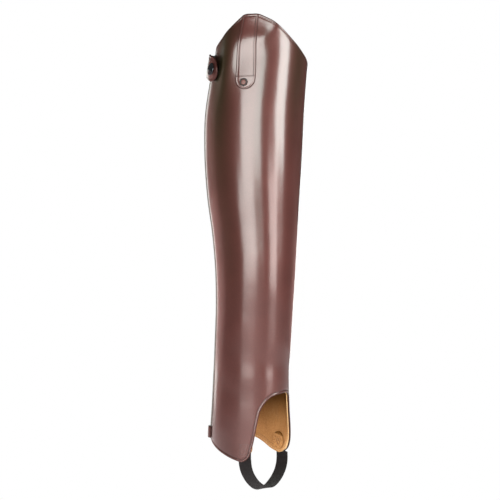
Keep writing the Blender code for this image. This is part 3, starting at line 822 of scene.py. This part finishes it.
drop = rounded(edge, strapKit["edgeRadius"])
over = np.clip(strapTop + strapKit["overTop"] - topHeight(turns), 0, None)
over = over * ease((fromEnd - strapKit["overFrom"]) / strapKit["overRun"])
heights = heights - over * (heights - strapBottom) / (strapTop - strapBottom)
strapFace = gap + strapKit["thick"]
face = strapFace - drop - ridge(edge - inset, *strapKit["groove"])
aboveEnd = ease((fromEnd - strapKit["seamFrom"]) / strapKit["seamRun"])
# the strap's edge mark: dyed cut edge with a painted shadow line beside it, and painted shade along the side
# seams and the seam across
strapEdgeAndSeamShade = rimMark(edge, full=strapKit["rimFull"]) + ridge(edge - inset, *strapKit["seamGrooveShade"]) * aboveEnd
strapEdgeAndSeamShade = strapEdgeAndSeamShade + ridge(fromEnd + strapBottom - crossStitch, *strapKit["crossGrooveShade"])
strap = legWall("pullStrapLeather", turns, heights, face, gap + drop, oxblood, "oxblood_leather",
                "pull_strap", rim=np.clip(strapEdgeAndSeamShade, 0, 1))
strapThread = {"pitch": 2.4, "length": 2.0, "width": 0.6, "height": 0.45, "slant": 10}
bm = bmesh.new()
seamTop, topTurn = strapTop - strapKit["topSeam"], strapKit["turn"][-1]
runHeights = np.linspace(crossStitch, seamTop, 80)
for side in (-1, 1):
    runTurns = strapTurn(runHeights) - side * (strapHalf(runHeights) - inset) / perDegree(topTurn, runHeights)
    stitchRun(bm, runTurns, runHeights, strapFace - strapKit["sideSink"], strapThread)
for height in (crossStitch, seamTop):
    half = float(strapHalf(height) - strapKit["crossInset"]) / float(perDegree(topTurn, height))
    runTurns = np.linspace(-half, half, 40) + float(strapTurn(height))
    stitchRun(bm, runTurns, np.full(40, height), strapFace - strapKit["crossSink"], strapThread)
finishPiece("pullStrapThread", bm, darkThread)
studProfile = [(0, 0), (3.8, 0), (4.1, 0.2), (4.2, 0.6), (4.0, 1.0), (3.7, 1.2), (3.4, 1.1), (3.2, 0.4),
               (2.7, 0.4), (2.5, 0.9), (1.6, 1.1), (0, 1.15)]
studMiddle = 2.55
studSeat = seat(strapKit["studTurn"], strapKit["studHeight"], strapFace + gap)
stud = turnedPiece("strapStudCap", studProfile, studSeat, studPaint, "strap_stud", sharp=60)
stud.data.materials.append(studRim)
toStud = studSeat.inverted()
for face in stud.data.polygons:
    if (toStud @ face.center).xy.length > studMiddle * mm:
        face.material_index = 1
print("strap made")

# patch over the foot of the zip

patchKit = {
    "half": 8.5, "bottom": -318.6, "top": -306.4, "grid": (23, 31),
    "edgeRadius": 0.8,
    # over the chain it stands higher and is thicker than over the leather beside it
    "thick": 2.2, "thinner": 0.9, "proud": 0.9, "lower": 0.6,
}
up, across = np.meshgrid(*(crowdedShares(count) for count in patchKit["grid"]), indexing="ij")
middleHeight = (patchKit["top"] + patchKit["bottom"]) / 2
halfTall = (patchKit["top"] - patchKit["bottom"]) / 2
turns = zipTurn + patchKit["half"] * across
heights = middleHeight + halfTall * up
halfRound = patchKit["half"] * perDegree(zipTurn, middleHeight)
edge = np.minimum(halfRound * (1 - abs(across)), halfTall * (1 - abs(up)))
drop = rounded(edge, patchKit["edgeRadius"])
offChain = ease((abs(turns - zipTurn) - layers["slitHalf"]) / (patchKit["half"] - layers["slitHalf"]))
base = patchKit["proud"] - patchKit["lower"] * offChain
thickness = patchKit["thick"] - patchKit["thinner"] * offChain
patch = legWall("zipEndPatchLeather", turns, heights, base + thickness - drop, base + drop, oxblood,
                "oxblood_leather", "zip_end_patch", rim=rimMark(edge))
print("zip foot patch made")

# elastic: sewn in at both lobes, hanging in a loop

elasticKit = {
    "half": 7.0, "thick": 1.2, "top": -319.0, "exit": -335.5,
    # x, y and z in mm, then twist and yaw of the band in degrees
    "route": [(-30.6, -8.0, -337.0, 0, 14), (-30.1, -8.2, -341.8, 2, 13), (-27.9, -8.8, -349.2, 8, 11),
              (-23.6, -9.8, -356.2, 14, 8), (-17.0, -10.9, -363.0, 18, 5), (-9.3, -12.0, -367.9, 20, 3),
              (-2.0, -12.9, -370.2, 16, 1), (6.4, -13.6, -370.1, 6, 0), (17.0, -14.0, -366.4, 0, 0),
              (27.0, -14.0, -360.0, 0, 0), (33.2, -13.9, -353.0, 0, 0), (36.4, -13.5, -346.0, 0, 0),
              (37.3, -13.1, -340.5, 0, 0), (37.3, -13.0, -337.0, 0, 0)],
    "rows": 150, "heldRows": 12, "columns": 37, "edgeRadius": 0.5, "ribs": 9,
    "ribDepth": 0.14,
}


def elasticGrid():
    half, thick = elasticKit["half"], elasticKit["thick"]
    shares = np.linspace(-1, 1, elasticKit["columns"])
    ribs = elasticKit["ribDepth"] * (np.cos((shares + 1) / 2 * elasticKit["ribs"] * 2 * pi) * -0.5 - 0.5)
    drop = rounded(half * (1 - abs(shares)), elasticKit["edgeRadius"])
    held = np.linspace(elasticKit["top"], elasticKit["exit"], elasticKit["heldRows"])
    face = -layers["leather"] - layers["bandGap"]

    def inLobe(middleTurn, side, height):
        turn = middleTurn - side * shares * half / perDegree(middleTurn, height)
        level = np.full(len(shares), height)
        return onLeg(turn, level, face + ribs - drop), onLeg(turn, level, face - thick - ribs + drop)

    rows = [inLobe(layers["outerEnd"], 1, height) for height in held]
    route = np.array(elasticKit["route"])
    along = runLength(route[:, :3])
    curves = [smoothCurve(along, column) for column in route.T]
    for place in np.linspace(0, along[-1], elasticKit["rows"]):
        spots = np.clip((place, place + 0.5, place - 0.5), 0, along[-1])
        centre, ahead, behind = np.stack([curve(spots) for curve in curves[:3]], -1)
        forward = Vector(ahead - behind).normalized()
        twist, yaw = (radians(float(curve(place))) for curve in curves[3:])
        across = Vector((cos(twist) * sin(yaw), -cos(twist) * cos(yaw), sin(twist)))
        across = (across - forward * across.dot(forward)).normalized()
        out = np.array(forward.cross(across))
        line = centre + np.outer(half * shares, np.array(across))
        lift = (thick / 2 + ribs - drop)[:, None]
        rows.append((line + out * lift, line - out * lift))
    rows += [inLobe(layers["innerEnd"], -1, height) for height in held[::-1]]
    outer, inner = np.array([row[0] for row in rows]), np.array([row[1] for row in rows])
    run = runLength(outer[:, len(shares) // 2]) / (2 * half)
    lengths = np.stack(np.broadcast_arrays(run[:, None], (shares[None, :] + 1) / 2), -1)
    return outer, inner, lengths


outer, inner, lengths = elasticGrid()
elastic = wallPiece("elasticStrap", outer, inner, elasticWeave, "black_elastic", "elastic", lengths=lengths)
print("elastic made")

# sewn ends of the elastic: a tan facing inside each lobe, and box stitching outside

facingKit = {
    "height": -324.0, "halfRound": 8.6, "halfTall": 9.4, "thick": 0.9, "points": 33,
    "corner": 0.5, "edgeRadius": 0.35, "bulge": 0.35, "bulgeReach": 5.0,
    # puckers that run out from the middle, and a fold across: depth, reach, share of the height
    "puckers": 9, "pucker": 0.42, "fold": (0.7, 0.16), "foldHeight": 0.72,
    # shares of painted shade over the facing's top fold and along its edge
    "topShade": 0.8, "edgeShade": 0.5,
}
boxThread = {"pitch": 2.2, "length": 1.8, "width": 0.5, "height": 0.4, "slant": 8}
facingThread = {"pitch": 2.0, "length": 1.9, "width": 0.8, "height": 0.5, "slant": 6}
liningThread = {"pitch": 2.4, "length": 1.8, "width": 0.6, "height": 0.45, "slant": 10}
# corners of the sewn lines as turns from the middle of the elastic and heights, and insets in mm
sewing = {
    "box": [[(-6.5, -331), (6.5, -331), (6.5, -320.5), (-6.5, -331), (-6.5, -320.5), (6.5, -320.5)]],
    "facing": [[(-6.5, -320), (0, -330.5), (6.5, -320)], [(-3, -319.5), (0, -325.5), (3, -319.5)]],
    "tanInset": 5.6, "paleInset": 2.2,
}


def inLining(turn, height):
    return liningFace - layers["lining"] - liningTuck(turn, height)


def inFacing(turn, height):
    return inLining(turn, height) - gap - facingKit["thick"] - facingKit["bulge"]


def onShell(turn, height):
    return np.zeros(len(turn))


def facing(middleTurn, name):
    shares = crowdedShares(facingKit["points"])
    up, across = np.meshgrid(shares, shares, indexing="ij")
    x = across * np.sqrt(1 - facingKit["corner"] * up**2)
    z = up * np.sqrt(1 - facingKit["corner"] * across**2)
    turns = middleTurn + x * facingKit["halfRound"] / perDegree(middleTurn, facingKit["height"])
    heights = facingKit["height"] + z * facingKit["halfTall"]
    edge = (1 - np.maximum(abs(across), abs(up))) * facingKit["halfRound"]
    base = inLining(turns, heights) - gap
    around = np.arctan2(z, x)
    pucker = facingKit["pucker"] * np.sin(around * facingKit["puckers"] + 0.6 * np.sin(around * 2))
    pucker = pucker * ease((edge - 0.3) / 1.2) * (1 - ease((edge - 4) / 4))
    pucker = pucker - ridge(z + 0.2 * x - facingKit["foldHeight"], *facingKit["fold"]) * ease(edge / 1.5)
    drop = rounded(edge, facingKit["edgeRadius"])
    bulge = facingKit["bulge"] * ease(edge / facingKit["bulgeReach"])
    face = base - facingKit["thick"] - bulge + drop + pucker
    # painted shade under the top fold and along the edge of the facing
    dark = facingKit["topShade"] * ease((z - 0.6 + 0.15 * x) / 0.2)
    dark = dark + facingKit["edgeShade"] * ease(1 - edge / 0.8)
    return legWall(name, turns, heights, base - drop, face, tanLeather, "tan_lining",
                   dark=np.clip(dark, 0, 1))


def sewnLines(proud, lines, size):
    bm = bmesh.new()
    for middleTurn in (layers["outerEnd"], layers["innerEnd"]):
        for start, end in (pair for corners in lines for pair in zip(corners, corners[1:])):
            away, heights = np.linspace(start, end, 24).T
            stitchRun(bm, middleTurn + away, heights, proud(middleTurn + away, heights), size)
    return bm


def liningRun(bm, start, end, inset):
    runTurns, runHeights = bottomRun(atLobe[start], atLobe[end], inset)
    stitchRun(bm, runTurns, runHeights, inLining(runTurns, runHeights), liningThread)


innerFacing = facing(layers["innerEnd"], "innerLobeFacing")
outerFacing = facing(layers["outerEnd"], "outerLobeFacing")
finishPiece("lobeThread", sewnLines(onShell, sewing["box"], boxThread), lobeColour)
bm = sewnLines(inFacing, sewing["facing"], facingThread)
liningRun(bm, "innerFront", "innerMiddle", sewing["tanInset"])
finishPiece("facingThread", bm, tanThread)
bm = bmesh.new()
liningRun(bm, "outerBack", "innerBack", sewing["paleInset"])
finishPiece("liningThread", bm, paleThread)
print("elastic ends made")
# floor, light and camera

studio = {
    "azimuth": -58.0, "distance": 1.29, "target": -0.1176, "sideShift": -0.00406,
    "lens": 86.9, "floor": -0.42, "floorGlow": (1.15, 0.04),
    "floorFade": (0.9, 1.6), "lightDistance": 1.6, "light": (0.90, 1.0, 0.96),
    "low": (1.0, 0.92, 0.88), "glow": (1.0, 0.58, 0.54), "room": (1.0, 0.98, 0.97),
    "roomLight": 0.04, "floorHalf": 4.0, "sensor": 36,
}
toCamera = Vector((sin(radians(studio["azimuth"])), -cos(radians(studio["azimuth"])), 0))
right = Vector((-toCamera.y, toCamera.x, 0))
target = Vector((0, 0, studio["target"])) + right * studio["sideShift"]


def softBox(name, angle, low, high, width, power, colour="light", glossy=True):
    # the angle runs round the object from the camera to its right, low and high are heights in m
    data = bpy.data.lights.new(name, "AREA")
    data.shape = "RECTANGLE"
    data.size, data.size_y = width, high - low
    data.energy = power
    data.color = studio[colour]
    light = addObject(name, data)
    fromObject = toCamera * cos(radians(angle)) + right * sin(radians(angle))
    light.location = fromObject * studio["lightDistance"] + Vector((0, 0, (low + high) / 2))
    light.rotation_euler = (-fromObject).to_track_quat("-Z", "Y").to_euler()
    light.visible_glossy = glossy


softBox("frontBox", -14, -0.20, 0.40, 1.25, 28)
softBox("middleFrontBox", -27, -0.32, -0.20, 1.00, 4.6)
softBox("lowFrontBox", -31, -0.39, -0.32, 0.95, 2.4, "low")
softBox("footFrontBox", -20, -0.80, -0.39, 0.80, 1.4, "low")
softBox("sideBox", 52, -0.10, 0.56, 0.74, 25)
softBox("lowSideBox", 36, -0.46, -0.10, 0.62, 8, "low")
softBox("wallBox", -126, -0.80, 0.40, 1.20, 130, glossy=False)
softBox("farBox", 122, -0.80, 0.40, 1.20, 60, glossy=False)
softBox("outerGlow", -132, -0.80, -0.14, 1.60, 2.9, "glow")
softBox("highOuterGlow", -132, -0.14, 0.40, 1.60, 1.0, "glow")
softBox("innerGlow", 145, -0.80, -0.10, 1.40, 1.6, "glow")
softBox("edgeBox", -160, -0.80, 0.40, 0.80, 5)
softBox("backBox", 172, -0.70, 0.40, 0.40, 5)
softBox("lowEdgeBox", -134, -0.90, -0.38, 0.50, 4.6)
softBox("lowInnerBox", 146, -0.90, -0.42, 0.80, 2.6)

# the floor is white to the camera, and gives everything else a little light that fades outwards
floorMaterial, tree, shader = newMaterial("whiteFloor")
tree.nodes.remove(shader)
glow = nodeOf(tree, "ShaderNodeEmission", {"Color": (1, 1, 1, 1)})
seen = nodeOf(tree, "ShaderNodeLightPath")
strength = nodeOf(tree, "ShaderNodeMapRange", {"To Max": 1.0})
coords = nodeOf(tree, "ShaderNodeTexCoord")
away = nodeOf(tree, "ShaderNodeVectorMath", operation="LENGTH")
(near, far), (bright, dim) = studio["floorFade"], studio["floorGlow"]
fade = nodeOf(tree, "ShaderNodeMapRange", interpolation_type="SMOOTHSTEP")
fill(fade, {"From Min": near, "From Max": far, "To Min": bright, "To Max": dim})
join(coords, "Object", away, 0)
join(away, "Value", fade, "Value")
join(fade, "Result", strength, "To Min")
join(seen, "Is Camera Ray", strength, "Value")
join(strength, "Result", glow, "Strength")
join(glow, 0, tree.nodes["Material Output"], "Surface")
bm = bmesh.new()
bmesh.ops.create_grid(bm, x_segments=1, y_segments=1, size=studio["floorHalf"])
bmesh.ops.translate(bm, verts=bm.verts, vec=(0, 0, studio["floor"]))
floorMesh = meshOf("paleFloor", bm)
floorMesh.materials.append(floorMaterial)
floor = addObject("paleFloor", floorMesh)

world = bpy.data.worlds.new("paleRoom")
scene.world = world
world.use_nodes = True
tree = world.node_tree
room = tree.nodes["Background"]
fill(room, {"Color": (*studio["room"], 1), "Strength": studio["roomLight"]})
white = nodeOf(tree, "ShaderNodeBackground", {"Color": (1, 1, 1, 1), "Strength": 1.0})
seen = nodeOf(tree, "ShaderNodeLightPath")
mixed = nodeOf(tree, "ShaderNodeMixShader")
join(seen, "Is Camera Ray", mixed, 0)
join(room, 0, mixed, 1)
join(white, 0, mixed, 2)
join(mixed, 0, tree.nodes["World Output"], "Surface")
scene.view_settings.view_transform = "Standard"

camera = addObject("camera", bpy.data.cameras.new("camera"))
camera.data.lens = studio["lens"]
camera.data.sensor_width = studio["sensor"]
camera.location = target + toCamera * studio["distance"]
camera.rotation_euler = (-toCamera).to_track_quat("-Z", "Y").to_euler()
scene.camera = camera
print("studio made")
